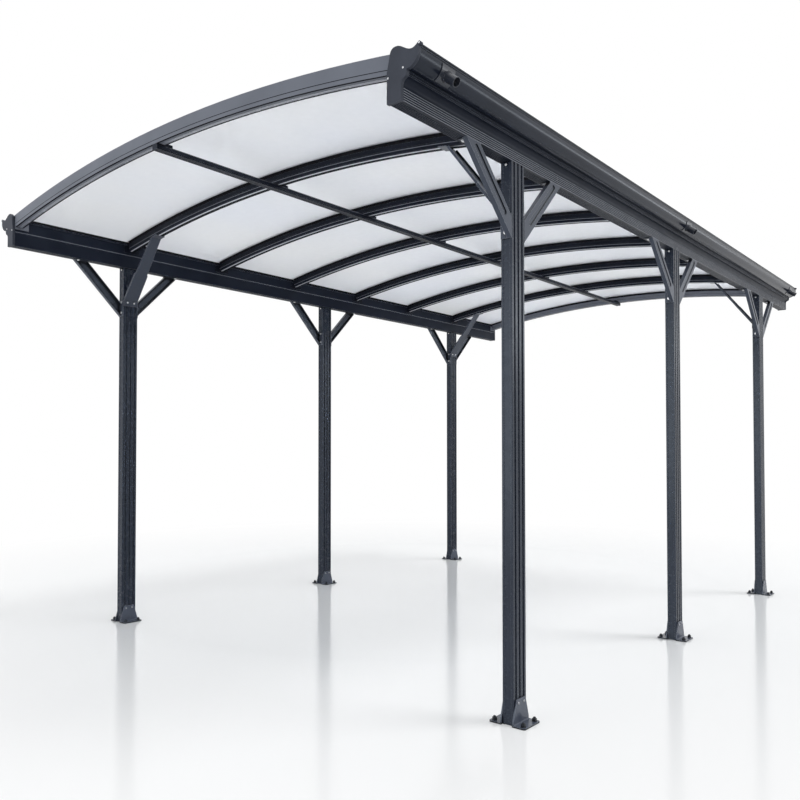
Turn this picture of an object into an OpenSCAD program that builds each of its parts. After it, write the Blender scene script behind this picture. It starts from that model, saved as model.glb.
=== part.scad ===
// Arched-roof carport: six fluted posts, two gutter beams, eight curved
// rafters and seven roof sheets, braced at the corners and along the sides.
// Millimetres. X runs across, Y along the length (front at -Y), Z up from the
// floor. The origin is on the floor under the middle of the roof.

/* [Layout] */
// Centre to centre of the two post rows
post_span = 2820; // [2300:10:3600]
// Centre to centre of neighbouring rafters
bay_pitch = 698; // [560:1:860]
// Height of the underside of the side beams
beam_height = 2215; // [1900:5:2700]
// Radius of the roof curve at the underside of the rafters
arch_radius = 7933; // [6000:1:12000]
// Height of the rafters' underside above the side beams' underside, at the posts
eave_rise = 98.7; // [85:0.1:125]

/* [Posts] */
// Post size across the carport
post_x = 50; // [40:1:70]
// Post size along the carport
post_y = 97; // [80:1:130]
// Width of each groove in a wide face
flute_w = 13; // [8:1:16]
// Depth of each groove in a wide face
flute_d = 5; // [2:0.5:8]
// Depth of the shallow recess in a narrow face
recess_d = 2.5; // [1:0.5:5]

/* [Foot brackets] */
// Sheet thickness of the foot brackets
foot_t = 6; // [3:0.5:8]
// Length of a foot bracket's flange along the carport
foot_y = 122; // [100:1:160]
// Reach of the flange out from the post
foot_reach = 57; // [45:1:80]
// Height of the upright plate
foot_h = 100; // [80:1:140]
// Width of the upright plate at its top
foot_top_w = 70; // [50:1:84]
// Diameter of an anchor hole
anchor_d = 10; // [8:0.5:14]
// Centre to centre of a flange's two anchor holes
anchor_pitch = 86; // [60:1:95]
// Distance from the post's face to the anchor holes
anchor_out = 40; // [30:1:44]

/* [Side braces] */
// Height of a side brace, up to the beam's underside
brace_rise = 307; // [260:1:480]
// Width of a side brace across its slope
brace_w = 60; // [45:1:75]
// Depth of a side brace's folded edges
brace_lip = 22; // [15:1:32]
// Width of the long recess pressed into a side brace
brace_recess_w = 22; // [12:1:26]
// Sheet thickness of the braces
brace_t = 3; // [2:0.5:5]

/* [Cross braces] */
// Depth of the bend at a cross brace's foot below the beams' underside
cross_drop = 207; // [180:1:300]
// Distance from the post's inner face to the top of a cross brace
cross_reach = 300; // [240:1:330]
// Width of a cross brace at its foot
cross_w = 96; // [80:1:96]
// Width of a cross brace at its top
cross_top_w = 62; // [44:1:70]

/* [Side beams] */
// Width of a side beam
beam_w = 55; // [52:1:60]
// Height of a side beam up to the shelf that carries the gutter
beam_shelf = 95; // [90:1:110]

/* [Gutters] */
// Outer radius of a gutter's round bottom
gutter_r = 50; // [40:1:60]
// Sheet thickness of a gutter
gutter_t = 2.5; // [1.5:0.5:4]
// Height of the gutter's lip above its bottom
gutter_h = 70; // [62:1:80]
// Outer diameter of an outlet spigot
spigot_d = 34; // [26:1:42]
// Wall of an outlet spigot
spigot_t = 2; // [1.5:0.5:4]
// Length of an outlet spigot beyond the gutter
spigot_len = 53; // [40:1:80]
// Length of an outlet's saddle plate
saddle_len = 72; // [60:1:120]
// Distance from the middle of the carport to an outer outlet
outlet_y = 2315; // [1500:5:2320]

/* [End caps] */
// Thickness of an end cap
cap_t = 14; // [8:1:24]

/* [Rafters] */
// Width of a rafter
rafter_w = 45; // [40:1:56]
// Depth of a rafter below the roof sheets
rafter_d = 57; // [50:1:70]
// Width of the clamping strip on top of a rafter
clamp_w = 50; // [40:1:60]
// Thickness of the clamping strip
clamp_t = 4; // [3:0.5:8]
// Width of a rafter's foot plate
foot_plate_w = 106; // [60:1:120]

/* [Roof sheets] */
// Thickness of a roof sheet
sheet_t = 6; // [4:0.5:10]
// Gap left beside a rafter's web for the sheet to grow into
sheet_gap = 3; // [1:0.5:5]
// Overhang of a roof sheet past the post line
sheet_over = 42; // [35:1:55]

/* [Purlin] */
// Width of the purlin under the crown
purlin_w = 36; // [28:1:50]
// Depth of the purlin
purlin_d = 26; // [22:1:40]

/* [Hidden] */
$fn = 96;
over = 1;
bays = 7;
side_name = ["left", "right"];
post_rows = [-bay_pitch * 2.5, 0, bay_pitch * 2.5];
foot_inset = 3.5;
half_span = post_span / 2;
half_x = post_x / 2;
half_y = post_y / 2;
rafter_end = bay_pitch * bays / 2;
fascia_face = rafter_end + rafter_w / 2;
length_half = fascia_face + cap_t;

// Side beam, in its own section: u outwards from the post's centre, v up from
// the beam's underside
beam_out = half_x;
beam_in = beam_out - beam_w;
rib_pitch = 8;
rib_d = 2;
rib_count = 5;
flare_d = 22;
flare_h = 42;
bead_line_w = 3;
bead_line_h = 6;
ridge_v = 78;
wall_t = 4;
wall_gap = 15;
wall_lip_h = 7;

// Roof curve
crown_under = beam_height + eave_rise + arch_radius
    - sqrt(arch_radius * arch_radius - half_span * half_span);
arch_centre = crown_under - arch_radius;
sheet_under_r = arch_radius + rafter_d;
sheet_top_r = sheet_under_r + sheet_t;
clamp_top_r = sheet_top_r + clamp_t;
web_w = 10;
neck_w = rafter_w - 9;
neck_h = 14;
bead_w = 26;
bead_d = 5;
edge_w = 2.5;
line_h = 3;
line_d = 2;
wall_lip = 3;
rafter_half = half_span + beam_in - wall_lip;
sheet_half = half_span + sheet_over;
foot_plate_t = 3;
foot_plate_h = 44;

// Place of the step in a cross brace's edges, as a share of its slope
cross_jog = 0.42;
// Depth and length of the step
cross_jog_in = 10;
cross_jog_l = 8;
brace_foot = beam_height - brace_rise;
cross_foot = beam_height - cross_drop;

// Gutter section
gutter_cx = beam_out + flare_d + 2;
gutter_cv = beam_shelf + gutter_r;
gutter_in = beam_out + 1;
gutter_tip = gutter_cx + gutter_r;
lip_w = 6;
lip_h = 5;
saddle_t = 3;
outlet_tilt = 36;
spigot_bore = spigot_d - 2 * spigot_t;
collar_d = spigot_d + 8;
collar_end = gutter_r + saddle_t + 4;
cap_margin = 1;

frame_colour = [0.24, 0.25, 0.29];
fascia_colour = [0.42, 0.44, 0.48];
sheet_colour = [0.82, 0.85, 0.90, 0.7];

// Height of a point on the roof curve of radius r at distance x from the middle
function arch_z(r, x) = arch_centre + sqrt(r * r - x * x);

// ---- helpers -------------------------------------------------------------

// Moves a piece drawn for the right-hand side to a side and a place along it
module at_side(side, y = 0) {
    translate([0, y, 0])
        mirror([side < 0 ? 1 : 0, 0, 0])
            children();
}

// Extrudes a (u, v) section along Y on the right-hand side beam's line
module along_beam(from_y, to_y) {
    translate([half_span, to_y, beam_height])
        rotate([90, 0, 0])
            linear_extrude(to_y - from_y)
                children();
}

// Sweeps a (r, y) section along the roof curve, from the crown down each side
// to half_x_reach
module along_arch(half_x_reach, r) {
    for (half = [0, 1])
        mirror([half, 0, 0])
            translate([0, 0, arch_centre])
                rotate([90, 0, 0])
                    rotate([0, 0, 90])
                        rotate_extrude(angle = asin(half_x_reach / r), $fn = 720)
                            children();
}

// ---- posts ---------------------------------------------------------------

module groove(width, depth) {
    draft = 1.5;
    half = width / 2;
    polygon([[-half, over], [-half, 0], [draft - half, -depth],
             [half - draft, -depth], [half, 0], [half, over]]);
}

module post_section() {
    face_margin = 13;
    flute_pitch = (post_y - 2 * face_margin) / 2.5;
    corner = 2;
    recess_margin = 10;
    difference() {
        polygon([[half_x, corner - half_y], [half_x, half_y - corner],
                 [half_x - corner, half_y], [corner - half_x, half_y],
                 [-half_x, half_y - corner], [-half_x, corner - half_y],
                 [corner - half_x, -half_y], [half_x - corner, -half_y]]);
        for (face = [0, 180], i = [-1:1])
            rotate(face)
                translate([half_x, i * flute_pitch])
                    rotate(-90)
                        groove(flute_w, flute_d);
        for (face = [0, 180])
            rotate(face)
                translate([0, half_y])
                    groove(post_x - 2 * recess_margin, recess_d);
    }
}

module post(side, row) {
    color(frame_colour)
        at_side(side, post_rows[row])
            translate([half_span, 0, 0])
                linear_extrude(beam_height)
                    post_section();
}

// ---- foot brackets -------------------------------------------------------

module foot_plate_outline() {
    corner = 7;
    base_half = foot_y / 2 - foot_inset;
    straight = 18;
    top_half = foot_top_w / 2;
    polygon([[-base_half, 0], [base_half, 0], [base_half, straight],
             [top_half, foot_h - corner],
             [top_half - corner * 0.3, foot_h - corner * 0.3],
             [top_half - corner, foot_h], [corner - top_half, foot_h],
             [corner * 0.3 - top_half, foot_h - corner * 0.3],
             [-top_half, foot_h - corner], [-base_half, straight]]);
}

module foot_flange_outline() {
    corner = 10;
    difference() {
        union() {
            translate([0, -foot_y / 2])
                square([foot_reach - corner, foot_y]);
            translate([0, -foot_y / 2 + corner])
                square([foot_reach, foot_y - 2 * corner]);
            for (end = [-1, 1])
                translate([foot_reach - corner, end * (foot_y / 2 - corner)])
                    circle(corner);
        }
        for (end = [-1, 1])
            translate([anchor_out, end * anchor_pitch / 2])
                circle(d = anchor_d);
    }
}

module foot_bracket() {
    bend_r = 5;
    rotate([90, 0, 90])
        linear_extrude(foot_t)
            foot_plate_outline();
    linear_extrude(foot_t)
        foot_flange_outline();
    // inside radius of the bend
    translate([foot_t, foot_y / 2 - foot_inset, foot_t])
        rotate([90, 0, 0])
            linear_extrude(foot_y - 2 * foot_inset)
                difference() {
                    square(bend_r);
                    translate([bend_r, bend_r])
                        circle(bend_r);
                }
}

module feet(side, row) {
    color(frame_colour)
        at_side(side, post_rows[row])
            for (face = [-1, 1])
                translate([half_span, 0, 0])
                    mirror([face < 0 ? 1 : 0, 0, 0])
                        translate([half_x, 0, 0])
                            foot_bracket();
}

// ---- side braces ---------------------------------------------------------

// A side brace seen from outside, in (y, z): y away from the post, z up from
// the lower end. Its slope is 45 degrees.
brace_step = brace_w * sqrt(2);

module brace_web_outline() {
    polygon([[0, 0], [brace_rise, brace_rise], [brace_rise - brace_step, brace_rise],
             [0, brace_step]]);
}

// A long round-ended bar along the brace, rising from the web's plane
module brace_slot(width, depth) {
    raised = 14;
    middle_y = (brace_rise - brace_step / 2) / 2 + raised;
    run = brace_rise * sqrt(2) - brace_w * 2.6;
    translate([0, middle_y, middle_y + brace_step / 2])
        rotate([45, 0, 0])
            rotate([0, 90, 0])
                linear_extrude(depth)
                    union() {
                        square([width, run], center = true);
                        for (end = [-1, 1])
                            translate([0, end * run / 2])
                                circle(width / 2);
                    }
}

module side_brace() {
    recess_in = 4;
    bead_wall = 3;
    foot_over = 12;
    fold = brace_t * sqrt(2);
    difference() {
        union() {
            // web with its two folded edges
            difference() {
                translate([-brace_lip, 0, 0])
                    rotate([90, 0, 90])
                        linear_extrude(brace_lip)
                            brace_web_outline();
                translate([-brace_lip - over, 0, 0])
                    rotate([90, 0, 90])
                        linear_extrude(brace_lip + over - brace_t)
                            polygon([[-over, fold - over],
                                     [brace_rise + over, brace_rise + over + fold],
                                     [brace_rise - brace_step + over, brace_rise + over - fold],
                                     [-over, brace_step - fold - over]]);
            }
            // the back of the recess pressed into the web
            translate([-brace_t - recess_in, 0, 0])
                brace_slot(brace_recess_w + 2 * bead_wall, recess_in + over);
            // foot against the post and head under the beam
            translate([1 - post_x, 0, 0])
                cube([post_x - 1, brace_t, brace_step + foot_over]);
            translate([8 - post_x, brace_rise - brace_step - 8, brace_rise - brace_t])
                cube([post_x - 8, brace_step + 6, brace_t]);
        }
        translate([-recess_in, 0, 0])
            brace_slot(brace_recess_w, recess_in + over);
    }
}

module side_braces(side, row) {
    color(frame_colour)
        at_side(side, post_rows[row])
            for (end = [-1, 1])
                mirror([0, end < 0 ? 1 : 0, 0])
                    translate([half_span + half_x, half_y, brace_foot])
                        side_brace();
}

// ---- cross braces --------------------------------------------------------

// Direction to the left of d, and the corner offset of a strip folded from d to e
function left_of(d) = [-d[1], d[0]];
function fold_offset(d, e) = (left_of(d) + left_of(e)) / (1 + left_of(d) * left_of(e));

// Half width of a cross brace's plate, at s along its slope: below its step at
// jog_s, and above it on a slope of length run
function cross_half(s, jog_s) = cross_w / 2 - 1.5 - 2.5 * s / jog_s;
function cross_half_above(s, jog_s, run) = cross_w / 2 - cross_jog_in
    - (cross_w / 2 - cross_jog_in - cross_top_w / 2) * (s - jog_s) / (run - jog_s);

module cross_brace() {
    x_post = half_span - half_x;
    x_top = x_post - cross_reach;
    tilt = asin(x_top / arch_radius);
    head_r = arch_radius - 0.1;
    head_in = 26;
    head_out = 18;
    tab_h = 34;
    lip = 9;
    lip_above = 8;
    lip_end = 12;
    along_head = [-cos(tilt), sin(tilt)];
    under_rafter = [head_r * sin(tilt), arch_centre + head_r * cos(tilt)];
    tab_end = [x_post, cross_foot - tab_h];
    fold = [x_post, cross_foot];
    knee = under_rafter - head_out * along_head;
    head_end = under_rafter + head_in * along_head;
    run = norm(knee - fold);
    along = (knee - fold) / run;
    slope = atan2(along[1], -along[0]);
    jog_s = run * cross_jog;
    lip_s = lip * tan(slope) + 2;
    end_s = run - lip_end;
    difference() {
        // folded strip seen from the side, with the lips as a band on its slope
        rotate([90, 0, 0])
            translate([0, 0, -cross_w / 2])
                linear_extrude(cross_w)
                    polygon([tab_end, fold,
                             fold + lip_s * along,
                             fold + lip_s * along - lip * left_of(along),
                             fold + jog_s * along - lip * left_of(along),
                             fold + jog_s * along - lip_above * left_of(along),
                             fold + end_s * along - lip_above * left_of(along),
                             fold + end_s * along,
                             knee, head_end,
                             head_end + brace_t * left_of(along_head),
                             knee + brace_t * fold_offset(along, along_head),
                             fold + brace_t * fold_offset([0, 1], along),
                             tab_end - [brace_t, 0]]);
        translate([fold[0], 0, fold[1]])
            rotate([0, slope - 180, 0]) {
                // hollow between the lips
                translate([0, 0, -2 * lip])
                    linear_extrude(2 * lip)
                        polygon([[lip_s - over, brace_t - cross_half(lip_s, jog_s)],
                                 [jog_s, brace_t - cross_half(jog_s, jog_s)],
                                 [jog_s, brace_t - cross_half_above(jog_s, jog_s, run)],
                                 [end_s + over, brace_t - cross_half_above(end_s, jog_s, run)],
                                 [end_s + over, cross_half_above(end_s, jog_s, run) - brace_t],
                                 [jog_s, cross_half_above(jog_s, jog_s, run) - brace_t],
                                 [jog_s, cross_half(jog_s, jog_s) - brace_t],
                                 [lip_s - over, cross_half(lip_s, jog_s) - brace_t]]);
                // taper, step and narrow upper part
                for (side = [-1, 1])
                    mirror([0, side < 0 ? 1 : 0, 0])
                        translate([0, 0, -cross_w])
                            linear_extrude(2 * cross_w)
                                polygon([[8, cross_w], [8, cross_half(8, jog_s)],
                                         [jog_s, cross_half(jog_s, jog_s)],
                                         [jog_s + cross_jog_l,
                                          cross_half_above(jog_s + cross_jog_l, jog_s, run)],
                                         [run, cross_top_w / 2],
                                         [run + cross_w, cross_top_w / 2],
                                         [run + cross_w, cross_w]]);
            }
    }
}

module cross_braces(row) {
    color(frame_colour)
        for (side = [-1, 1])
            at_side(side, post_rows[row])
                cross_brace();
}

// ---- side beams ----------------------------------------------------------

// Top of the beam's upright inner wall, below the roof sheets
wall_top = arch_z(sheet_under_r, half_span + beam_in) - beam_height - wall_gap;

module rib_groove() {
    polygon([[-2.5, -over], [-2.5, 0], [0, rib_d], [2.5, 0], [2.5, -over]]);
}

module beam_section() {
    ridge_half = 6;
    ridge_flat = 2;
    lip_u = beam_in - wall_lip;
    flare_u = beam_out + flare_d;
    lip_low = wall_top - wall_lip_h;
    difference() {
        // body, shelf with the line where the gutter begins, upright inner wall
        // with its lip, and the ridge along the inner face
        polygon([[beam_in, 0], [beam_out, 0], [beam_out, beam_shelf - flare_h],
                 [flare_u, beam_shelf - flare_h], [flare_u, beam_shelf - bead_line_h],
                 [flare_u + bead_line_w, beam_shelf - bead_line_h],
                 [flare_u + bead_line_w, beam_shelf], [beam_in + wall_t, beam_shelf],
                 [beam_in + wall_t, wall_top], [lip_u, wall_top], [lip_u, lip_low],
                 [beam_in, lip_low], [beam_in, ridge_v + ridge_half],
                 [lip_u, ridge_v + ridge_flat], [lip_u, ridge_v - ridge_flat],
                 [beam_in, ridge_v - ridge_half]]);
        // cove under the gutter
        translate([flare_u, beam_shelf - flare_h - 1])
            circle(flare_d + 2);
        // fine ribs outside and underneath
        for (i = [0 : rib_count - 1]) {
            translate([beam_out, 6 + i * rib_pitch])
                rotate(90)
                    rib_groove();
            translate([beam_in + 7 + i * rib_pitch, 0])
                rib_groove();
        }
        for (i = [0, 1])
            translate([flare_u, beam_shelf - 10.5 - i * 5])
                rotate(90)
                    rib_groove();
    }
}

module beam(side) {
    color(frame_colour)
        at_side(side)
            along_beam(-fascia_face, fascia_face)
                beam_section();
}

// ---- gutters -------------------------------------------------------------

module bowl(r, bottom_v, top_v, inner_u) {
    translate([inner_u, bottom_v])
        square([gutter_cx - inner_u, gutter_cv - bottom_v]);
    intersection() {
        translate([gutter_cx, gutter_cv])
            circle(r);
        translate([gutter_cx - over, gutter_cv - r - over])
            square(r + 2 * over);
    }
    translate([inner_u, gutter_cv - over])
        square([gutter_cx + r - inner_u, top_v - gutter_cv + over]);
}

module gutter_section() {
    lip_top = beam_shelf + gutter_h;
    inner_top = arch_z(sheet_under_r, half_span + gutter_in) - beam_height - 2;
    difference() {
        bowl(gutter_r, beam_shelf, lip_top, gutter_in);
        bowl(gutter_r - gutter_t, beam_shelf + gutter_t, lip_top + 30, gutter_in + gutter_t);
        translate([gutter_in - over, inner_top])
            square([gutter_t + 2 * over, 100]);
    }
    // rolled lip and the fine line under it
    translate([gutter_tip - 4, lip_top - lip_h])
        square([lip_w, lip_h]);
    translate([gutter_tip - over, lip_top - 12])
        square([over + 1.5, 3]);
}

module outlet_axis(y) {
    translate([half_span + gutter_cx, y, beam_height + gutter_cv])
        rotate([0, 90 + outlet_tilt, 0])
            children();
}

module gutter(side) {
    color(frame_colour)
        at_side(side)
            difference() {
                along_beam(-fascia_face, fascia_face)
                    gutter_section();
                for (y = [-outlet_y, 0, outlet_y])
                    outlet_axis(y)
                        cylinder(d = spigot_bore, h = gutter_r + 20);
            }
}

// The saddle hugs the gutter's round bottom, from level with its centre down
module saddle_section() {
    reach = 2 * gutter_r;
    low_end = 70;
    translate([gutter_cx, gutter_cv])
        intersection() {
            difference() {
                circle(gutter_r + saddle_t);
                circle(gutter_r);
            }
            polygon([[0, 0], [reach, 0], [reach, -reach],
                     [reach * cos(low_end), -reach * sin(low_end)]]);
        }
}

module gutter_outlet(y) {
    difference() {
        union() {
            along_beam(y - saddle_len / 2, y + saddle_len / 2)
                saddle_section();
            outlet_axis(y)
                translate([0, 0, gutter_r + 1])
                    cylinder(d = spigot_d, h = spigot_len - 1);
            // collar round the spigot's root
            outlet_axis(y)
                translate([0, 0, gutter_r + 1])
                    cylinder(d = collar_d, h = collar_end - gutter_r - 1);
        }
        outlet_axis(y)
            cylinder(d = spigot_bore, h = gutter_r + spigot_len + over);
        // the spigot's root follows the gutter
        translate([half_span + gutter_cx, y + saddle_len, beam_height + gutter_cv])
            rotate([90, 0, 0])
                cylinder(r = gutter_r, h = 2 * saddle_len);
    }
}

module gutter_outlets(side) {
    color(frame_colour)
        at_side(side)
            for (y = [-outlet_y, 0, outlet_y])
                gutter_outlet(y);
}

// ---- end caps ------------------------------------------------------------

module cap_outline() {
    m = cap_margin;
    in_u = beam_in - wall_lip - m;
    flare_u = beam_out + flare_d + m;
    cove_v = beam_shelf - 45;
    lip_top = beam_shelf + gutter_h;
    hump_v = arch_z(clamp_top_r, half_span) - beam_height + 15;
    dip_u = gutter_cx + 23;
    dip_v = lip_top - 11;
    tip_u = gutter_tip + m;
    tip_v = lip_top + 3;
    crest_u = beam_out - 20;
    shoulder_r = 22;
    eye_r = 6;
    cove = [for (a = [180:-15:105]) [flare_u + flare_d * cos(a), cove_v + flare_d * sin(a)]];
    round_bottom = [for (a = [-90:9:0])
        [gutter_cx + (gutter_r + m) * cos(a), gutter_cv + (gutter_r + m) * sin(a)]];
    dip_to_tip = [for (t = [1:-0.125:0])
        [dip_u + t * (tip_u - dip_u), dip_v + (tip_v - dip_v) * (1 - cos(90 * t))]];
    crest_to_dip = [for (t = [0.9:-0.1:0.1])
        [crest_u + t * (dip_u - crest_u), hump_v - (hump_v - dip_v) * (1 - cos(180 * t)) / 2]];
    shoulder = [for (a = [90:15:180])
        [crest_u - 4 + shoulder_r * cos(a), hump_v - shoulder_r + shoulder_r * sin(a)]];
    polygon(concat(
        [[in_u, -m], [beam_out + m, -m]],
        cove,
        [[flare_u, cove_v + flare_d + 2], [flare_u + bead_line_w, beam_shelf - bead_line_h - m]],
        round_bottom,
        dip_to_tip, crest_to_dip, shoulder,
        [[in_u, beam_shelf + 10]]));
    // round eye that closes the end of the gutter's rolled lip
    translate([gutter_tip + 3, lip_top - 3])
        circle(eye_r);
}

module end_caps(end) {
    color(frame_colour)
        for (side = [-1, 1])
            at_side(side)
                mirror([0, end > 0 ? 1 : 0, 0])
                    along_beam(-fascia_face - cap_t, -fascia_face)
                        cap_outline();
}

// ---- rafters -------------------------------------------------------------

// Section of a rafter in (radius, y). front is -1 or 1 for an edge rafter,
// whose outer face is one flat fascia, and 0 for an inner one.
module rafter_section(front) {
    w = rafter_w / 2;
    neck_r = sheet_under_r - neck_h;
    line_r = arch_radius + 20;
    difference() {
        union() {
            translate([arch_radius, -w])
                square([neck_r - arch_radius, rafter_w]);
            translate([neck_r - over, -neck_w / 2])
                square([neck_h + over, neck_w]);
            translate([sheet_under_r - over, -web_w / 2])
                square([sheet_t + clamp_t / 2 + over, web_w]);
            if (front != 0)
                translate([arch_radius + bead_d, front < 0 ? -w : 0])
                    square([clamp_top_r - arch_radius - bead_d, w]);
        }
        // a groove each side of the bead along the underside
        for (s = [-1, 1])
            translate([arch_radius - over, s * (w - edge_w - 4)])
                polygon([[0, -4], [over, -4], [over + bead_d, -2.5],
                         [over + bead_d, 2.5], [over, 4], [0, 4]]);
        // the line along each side face
        for (s = [-1, 1])
            if (s != front)
                translate([line_r, s * w - line_d])
                    square([line_h, 2 * line_d]);
    }
}

module rafter_clamp_section(front) {
    half = clamp_w / 2;
    from_y = front < 0 ? -rafter_w / 2 : -half;
    to_y = front > 0 ? rafter_w / 2 : half;
    translate([sheet_top_r, from_y])
        square([clamp_t, to_y - from_y]);
}

module rafter(index) {
    y = -rafter_end + index * bay_pitch;
    front = index == 0 ? 1 : index == bays ? -1 : 0;
    foot_low = beam_height + beam_shelf - 2;
    plate_from = front > 0 ? -rafter_w / 2 : -foot_plate_w / 2;
    plate_to = front < 0 ? rafter_w / 2 : foot_plate_w / 2;
    color(index == 0 || index == bays ? fascia_colour : frame_colour)
        translate([0, y, 0]) {
            intersection() {
                along_arch(rafter_half + over, arch_radius)
                    rafter_section(front);
                translate([-rafter_half, -rafter_w, beam_height])
                    cube([2 * rafter_half, 2 * rafter_w, 2 * (crown_under - beam_height)]);
            }
            along_arch(sheet_half, clamp_top_r)
                rafter_clamp_section(front);
            for (side = [-1, 1])
                at_side(side)
                    translate([rafter_half - foot_plate_t, plate_from, foot_low])
                        cube([foot_plate_t, plate_to - plate_from, foot_plate_h]);
        }
}

// ---- roof sheets ---------------------------------------------------------

module roof_sheet(index) {
    from_y = -rafter_end + (index - 1) * bay_pitch + web_w / 2 + sheet_gap;
    color(sheet_colour)
        translate([0, from_y + bay_pitch - web_w - 2 * sheet_gap, 0])
            along_arch(sheet_half, sheet_under_r)
                translate([sheet_under_r, 0])
                    square([sheet_t, bay_pitch - web_w - 2 * sheet_gap]);
}

// ---- purlin --------------------------------------------------------------

// Section of the purlin in (x, z) from the middle of its underside: bevelled
// upper edges, a groove low on each side and a shallow one underneath
module purlin_section() {
    half = purlin_w / 2;
    bevel = 6;
    groove_v = 6;
    groove_h = 3;
    groove_d = 2;
    under_half = 5;
    under_d = 1;
    difference() {
        polygon([[-half, 0], [half, 0], [half, purlin_d - bevel],
                 [half - bevel, purlin_d], [bevel - half, purlin_d],
                 [-half, purlin_d - bevel]]);
        for (s = [-1, 1])
            translate([s * half, groove_v])
                square([2 * groove_d, groove_h], center = true);
        square([2 * under_half, 2 * under_d], center = true);
    }
}

module purlin() {
    top = arch_z(arch_radius, purlin_w / 2);
    cleat_half = purlin_w / 2 - 6;
    cleat_l = 40;
    cleat_h = 12;
    color(frame_colour) {
        translate([0, fascia_face, top - purlin_d])
            rotate([90, 0, 0])
                linear_extrude(2 * fascia_face)
                    purlin_section();
        for (index = [0 : bays - 1])
            translate([-cleat_half, -rafter_end + index * bay_pitch + rafter_w / 2, top - over])
                cube([2 * cleat_half, cleat_l, cleat_h + over]);
        translate([-cleat_half, rafter_end - rafter_w / 2 - cleat_l, top - over])
            cube([2 * cleat_half, cleat_l, cleat_h + over]);
    }
}

post(-1, 0);  // post_front_left
post(1, 0);  // post_front_right
post(-1, 1);  // post_middle_left
post(1, 1);  // post_middle_right
post(-1, 2);  // post_rear_left
post(1, 2);  // post_rear_right
feet(-1, 0);  // feet_front_left
feet(1, 0);  // feet_front_right
feet(-1, 1);  // feet_middle_left
feet(1, 1);  // feet_middle_right
feet(-1, 2);  // feet_rear_left
feet(1, 2);  // feet_rear_right
side_braces(-1, 0);  // side_braces_front_left
side_braces(1, 0);  // side_braces_front_right
side_braces(-1, 1);  // side_braces_middle_left
side_braces(1, 1);  // side_braces_middle_right
side_braces(-1, 2);  // side_braces_rear_left
side_braces(1, 2);  // side_braces_rear_right
cross_braces(0);  // cross_braces_front
cross_braces(2);  // cross_braces_rear
beam(-1);  // beam_left
beam(1);  // beam_right
gutter(-1);  // gutter_left
gutter(1);  // gutter_right
end_caps(-1);  // end_caps_front
end_caps(1);  // end_caps_rear
gutter_outlets(-1);  // gutter_outlets_left
gutter_outlets(1);  // gutter_outlets_right
rafter(0);  // rafter_front
rafter(1);  // rafter_2
rafter(2);  // rafter_3
rafter(3);  // rafter_4
rafter(4);  // rafter_5
rafter(5);  // rafter_6
rafter(6);  // rafter_7
rafter(7);  // rafter_rear
roof_sheet(1);  // roof_sheet_1
roof_sheet(2);  // roof_sheet_2
roof_sheet(3);  // roof_sheet_3
roof_sheet(4);  // roof_sheet_4
roof_sheet(5);  // roof_sheet_5
roof_sheet(6);  // roof_sheet_6
roof_sheet(7);  // roof_sheet_7
purlin();
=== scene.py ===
import math

import bpy
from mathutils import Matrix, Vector


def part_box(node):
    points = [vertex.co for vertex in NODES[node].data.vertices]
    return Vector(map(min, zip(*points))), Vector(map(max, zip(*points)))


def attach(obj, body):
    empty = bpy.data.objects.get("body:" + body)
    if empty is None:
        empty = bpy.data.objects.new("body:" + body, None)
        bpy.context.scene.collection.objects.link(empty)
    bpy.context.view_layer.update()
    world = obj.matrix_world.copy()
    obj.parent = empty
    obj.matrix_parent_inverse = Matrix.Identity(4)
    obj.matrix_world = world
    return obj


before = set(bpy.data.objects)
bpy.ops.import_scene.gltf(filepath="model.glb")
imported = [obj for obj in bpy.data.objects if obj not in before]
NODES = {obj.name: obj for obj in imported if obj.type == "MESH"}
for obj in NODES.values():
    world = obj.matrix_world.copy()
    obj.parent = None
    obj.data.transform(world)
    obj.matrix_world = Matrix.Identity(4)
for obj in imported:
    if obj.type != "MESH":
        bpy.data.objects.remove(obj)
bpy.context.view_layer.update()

# Looks of the arched-roof carport. Metres; X across, Y along with the front at
# -Y, Z up from the floor.

SIDES = (("left", -1), ("right", 1))
ENDS = (("front", -1), ("rear", 1))
ROWS = ("front", "middle", "rear")
RAFTERS = ("rafter_front", "rafter_2", "rafter_3", "rafter_4", "rafter_5", "rafter_6", "rafter_7",
           "rafter_rear")

# ---- sizes ----------------------------------------------------------------------

MM = 0.001
# Written out as in the part's source
ROOF_TOP_RADIUS = 8000 * MM
CLAMP_T = 4 * MM
SHEET_T = 6 * MM
# Read from the frame, or worked out from both
ROOF_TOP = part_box("rafter_2")[1].z
ARCH_CENTRE = ROOF_TOP - ROOF_TOP_RADIUS
SHEET_UNDER_RADIUS = ROOF_TOP_RADIUS - CLAMP_T - SHEET_T
BEAM_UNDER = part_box("beam_left")[0].z
BEAM_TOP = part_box("beam_left")[1].z


def post_box(row, side):
    """Lowest corner, highest corner and centre of a post."""
    low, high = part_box(f"post_{row}_{side}")
    return low, high, (low + high) / 2


# ---- modelling helpers --------------------------------------------------------

# How nearly a face has to point along an axis to be picked
FACING = 0.9


def deselect():
    if bpy.context.object and bpy.context.object.mode != "OBJECT":
        bpy.ops.object.mode_set(mode="OBJECT")
    bpy.ops.object.select_all(action="DESELECT")


def take_up(piece):
    """Makes a piece the only one selected."""
    deselect()
    piece.select_set(True)
    bpy.context.view_layer.objects.active = piece


def named_as(piece, name):
    piece.name = name
    piece.data.name = name
    return piece


def named(name):
    """Names the piece that was made last."""
    return named_as(bpy.context.object, name)


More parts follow.
